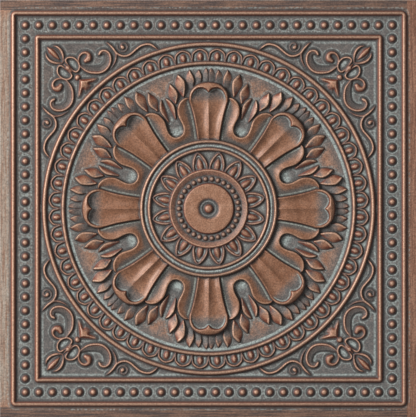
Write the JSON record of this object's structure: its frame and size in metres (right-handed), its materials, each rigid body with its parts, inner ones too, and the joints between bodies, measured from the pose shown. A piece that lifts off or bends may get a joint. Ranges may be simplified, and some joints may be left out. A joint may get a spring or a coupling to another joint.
{
  "type": "embossed pvc ceiling tile",
  "caption": "Square thermoformed ceiling tile with a beaded border, scrolled corners and a round rosette, hollow at the back.",
  "frame": {"origin": "middle of the tile at the back plane of its flange, which lies on the floor", "axes": "+Z out of the decorated face, +X and +Y along two sides of the tile"},
  "size_m": [0.603, 0.603, 0.0118],
  "materials": {
    "moulded_sheet": "satin"
  },
  "bodies": {
    "root": {"moulded_sheet": "moulded_sheet"}
  },
  "joints": []
}
